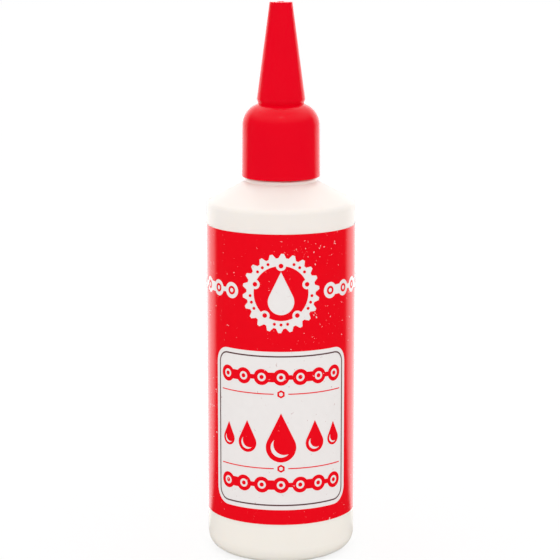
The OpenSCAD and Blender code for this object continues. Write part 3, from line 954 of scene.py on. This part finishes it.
def side_panels(sizes):
    """What the side panels show: a thin line round each, and three rows of a roundel with bars."""
    z, place = panel_middle(sizes), sizes.side_panel_place
    shapes = repeated(panel_line(sizes, sizes.side_panel_width), ((-place, 0), (place, 0)))
    # The right panel has the same rows one step further up, and the top one comes round to its foot
    for row, symbol in enumerate((drop_symbol(), link_symbol(), sprocket_symbol())):
        steps = (1 - row, 1 - (row - 1) % 3)
        shapes += repeated(roundel_row(sizes, symbol), [
            (side * place - sizes.roundel_place, z + step * sizes.roundel_step)
            for side, step in zip((-1, 1), steps)])
    return shapes


def drop_symbol():
    return through(drawn_drop(0, 0, radius=2.3 * MM))


def link_symbol():
    pitch = 4.2 * MM
    return chain_row(-pitch / 2, 0, pitch, 1, -CUTTER_REACH, CUTTER_REACH)


def sprocket_symbol():
    disc = through(drawn_toothed_disc(0, 0, radius=4 * MM, teeth=12, tooth_height=0.9 * MM))
    bore = drawn_circle(0, 0, radius=1.5 * MM, sides=32)
    return cut(disc, through(bore, 2 * CUTTER_REACH))


def roundel_row(sizes, symbol):
    """A red roundel with a symbol left open in it, and three bars beside it, the last one shorter."""
    thick = sizes.ink_thickness
    bars_x, bar_step, bar_height, bar_corner = 8 * MM, 2.6 * MM, 1.1 * MM, 0.3 * MM
    roundel = pulled_out(drawn_circle(0, 0, sizes.roundel_radius, sides=64), 0, thick)
    bars = [pulled_out(drawn_panel(bars_x + width / 2, (1 - i) * bar_step, width, bar_height,
                                   bar_corner), 0, thick)
            for i, width in enumerate((10 * MM, 10 * MM, 6.5 * MM))]
    return gather("roundel_row", [cut(roundel, symbol)] + bars)


class PrintRed(bpy.types.Operator):
    """Prints the red: the ground with its light panels and chainring left open, and the shapes."""

    bl_idname = "lube_bottle.red_print"
    bl_label = "Red print"

    def execute(self, context):
        sizes = context.scene.label_sizes
        colours = context.scene.bottle_colours
        shapes = [red_ground(sizes), *chains_on_panel(sizes), *drop_row(sizes),
                  *rules_with_nuts(sizes), *chainring_dots(sizes), *side_panels(sizes)]
        red = wrapped(gather("red_print", shapes), film_outer_r)
        finish_piece(red, "bottle",
                     laminated("letterpress_red_ink", colours.print_red, colours.film_white),
                     ["label_red_print"])
        return {"FINISHED"}


class PrintDark(bpy.types.Operator):
    """Prints the thin dark line round the inside of the front panel."""

    bl_idname = "lube_bottle.dark_print"
    bl_label = "Dark line"

    def execute(self, context):
        sizes = context.scene.label_sizes
        line = wrapped(panel_line(sizes, sizes.panel_width), film_outer_r)
        line.name = "dark_line"
        finish_piece(line, "bottle",
                     laminated("dark_line_ink", context.scene.bottle_colours.print_dark),
                     ["label_dark_print"])
        return {"FINISHED"}


# The studio


class SetStage(bpy.types.Operator):
    """Sets up the pale floor, the even room light, the soft lamp and the camera."""

    bl_idname = "lube_bottle.stage"
    bl_label = "Studio"

    def execute(self, context):
        studio = context.scene.studio_sizes
        make_floor(studio, context.scene.bottle_colours.floor_pale)
        set_room(context.scene, studio)
        hang_lamp(studio)
        context.scene.camera = placed_camera(studio)
        context.scene.view_settings.view_transform = "Standard"
        return {"FINISHED"}


def hang_lamp(studio):
    """A small square lamp in front of the bottle and above it."""
    deselect_everything()
    bpy.ops.object.light_add(type="AREA", location=studio.lamp_place)
    lamp = bpy.context.object
    lamp.name = "overhead_lamp"
    aim = Vector((0, 0, studio.lamp_aim))
    lamp.rotation_euler = (aim - lamp.location).to_track_quat("-Z", "Y").to_euler()
    lamp.data.shape = "SQUARE"
    lamp.data.size = studio.lamp_size
    lamp.data.energy = studio.lamp_power


def placed_camera(studio):
    """A camera in front of the bottle that looks down at its axis."""
    bpy.ops.object.camera_add(
        location=(studio.camera_side, -studio.camera_distance, studio.camera_height))
    camera = bpy.context.object
    drop = studio.camera_height - studio.aim_height
    camera.rotation_euler = (pi / 2 - atan2(drop, studio.camera_distance), 0, 0)
    camera.data.sensor_width = 36
    camera.data.lens = studio.lens
    camera.data.clip_start = 0.01
    return camera


def seen_by_eye(tree, path):
    """1 for rays from the eye, also through clear things, and 0 for rays that only carry light."""
    return add_node(tree, "Math", {0: path["Is Camera Ray"], 1: path["Is Transmission Ray"]},
                    operation="MAXIMUM").outputs[0]


def backdrop_in_gloss(tree, studio, direction):
    """What a gloss mirrors in a direction: the bright backdrop behind, and the dark room in front."""
    behind = add_node(tree, "SeparateXYZ", {"Vector": direction}).outputs["Y"]
    start, full = studio.backdrop_edge
    return add_node(tree, "MapRange", {"Value": behind, "From Min": start, "From Max": full,
                                       "To Min": studio.front_gloss,
                                       "To Max": studio.backdrop_gloss},
                    interpolation_type="SMOOTHSTEP").outputs[0]


def make_floor(studio, colour):
    """A round pale floor: plain to the light, and white to the eye apart from the bottle's shadow."""
    deselect_everything()
    bpy.ops.mesh.primitive_circle_add(vertices=64, radius=studio.floor_radius, fill_type="NGON")
    floor = bpy.context.object
    floor.name = "floor"
    material, tree = new_material("pale_floor")
    path = add_node(tree, "LightPath").outputs
    place = add_node(tree, "TexCoord").outputs["Object"]
    from_axis = add_node(tree, "VectorMath", {0: place}, operation="NORMALIZE").outputs[0]
    share = add_node(tree, "Math", {0: seen_by_eye(tree, path), 1: studio.floor_share},
                     operation="MULTIPLY")
    matt = add_node(tree, "BsdfDiffuse", {"Color": list(colour)})
    white = add_node(tree, "Emission", {"Color": WHITE, "Strength": studio.floor_white})
    seen = add_node(tree, "MixShader", {0: share.outputs[0], 1: matt.outputs[0],
                                        2: white.outputs[0]})
    mirrored = add_node(tree, "Emission", {
        "Color": WHITE, "Strength": backdrop_in_gloss(tree, studio, from_axis)})
    mixed = add_node(tree, "MixShader", {0: path["Is Glossy Ray"], 1: seen.outputs[0],
                                         2: mirrored.outputs[0]})
    add_node(tree, "OutputMaterial", {"Surface": mixed.outputs[0]})
    floor.data.materials.append(material)
    return floor


def set_room(scene, studio):
    """Even light from all round, with a plain white background to the eye and, to a gloss, a
    bright backdrop and ceiling."""
    world = bpy.data.worlds.new("white_room")
    world.use_nodes = True
    tree = world.node_tree
    tree.nodes.clear()
    path = add_node(tree, "LightPath").outputs
    direction = add_node(tree, "TexCoord").outputs["Generated"]
    height = add_node(tree, "SeparateXYZ", {"Vector": direction}).outputs["Z"]
    light = add_node(tree, "Background", {"Color": WHITE, "Strength": studio.room_level})
    white = add_node(tree, "Background", {"Color": WHITE, "Strength": 1})
    start, full = studio.ceiling_edge
    above = add_node(tree, "MapRange", {"Value": height, "From Min": start, "From Max": full,
                                        "To Max": studio.ceiling_gloss},
                     interpolation_type="SMOOTHSTEP")
    gloss = add_node(tree, "Math", {0: above.outputs[0],
                                    1: backdrop_in_gloss(tree, studio, direction)},
                     operation="MAXIMUM")
    mirrored = add_node(tree, "Background", {"Color": WHITE, "Strength": gloss.outputs[0]})
    lit = add_node(tree, "MixShader", {0: seen_by_eye(tree, path), 1: light.outputs[0],
                                       2: white.outputs[0]})
    mixed = add_node(tree, "MixShader", {0: path["Is Glossy Ray"], 1: lit.outputs[0],
                                         2: mirrored.outputs[0]})
    add_node(tree, "OutputWorld", {"Surface": mixed.outputs[0]})
    world.cycles.sampling_method = "NONE"
    scene.world = world


class LubeBottlePanel(bpy.types.Panel):
    """Lists the steps that dress the bottle, and the sizes and colours that they use."""

    bl_idname = "VIEW3D_PT_lube_bottle"
    bl_label = "Chain lube bottle"
    bl_space_type = "VIEW_3D"
    bl_region_type = "UI"
    bl_category = "Lube bottle"

    def draw(self, context):
        scene = context.scene
        for step in STEPS:
            self.layout.operator(step.bl_idname)
        for group in (scene.mould_mark_sizes, scene.label_sizes, scene.bottle_colours,
                      scene.studio_sizes):
            box = self.layout.box()
            for name in group.__annotations__:
                box.prop(group, name)


STEPS = (DressBottle, DressContents, DressMouldings, WrapFilm, PrintRed, PrintDark, SetStage)
CLASSES = (MouldMarkSizes, LabelSizes, Colours, StudioSizes, *STEPS, LubeBottlePanel)


def register():
    for item in CLASSES:
        bpy.utils.register_class(item)
    bpy.types.Scene.mould_mark_sizes = PointerProperty(type=MouldMarkSizes)
    bpy.types.Scene.label_sizes = PointerProperty(type=LabelSizes)
    bpy.types.Scene.bottle_colours = PointerProperty(type=Colours)
    bpy.types.Scene.studio_sizes = PointerProperty(type=StudioSizes)


def unregister():
    del bpy.types.Scene.studio_sizes
    del bpy.types.Scene.bottle_colours
    del bpy.types.Scene.label_sizes
    del bpy.types.Scene.mould_mark_sizes
    for item in reversed(CLASSES):
        bpy.utils.unregister_class(item)


def main():
    register()
    bpy.ops.lube_bottle.bottle()
    bpy.ops.lube_bottle.contents()
    bpy.ops.lube_bottle.mouldings()
    bpy.ops.lube_bottle.film()
    bpy.ops.lube_bottle.red_print()
    bpy.ops.lube_bottle.dark_print()
    bpy.ops.lube_bottle.stage()


if __name__ == "__main__":
    main()
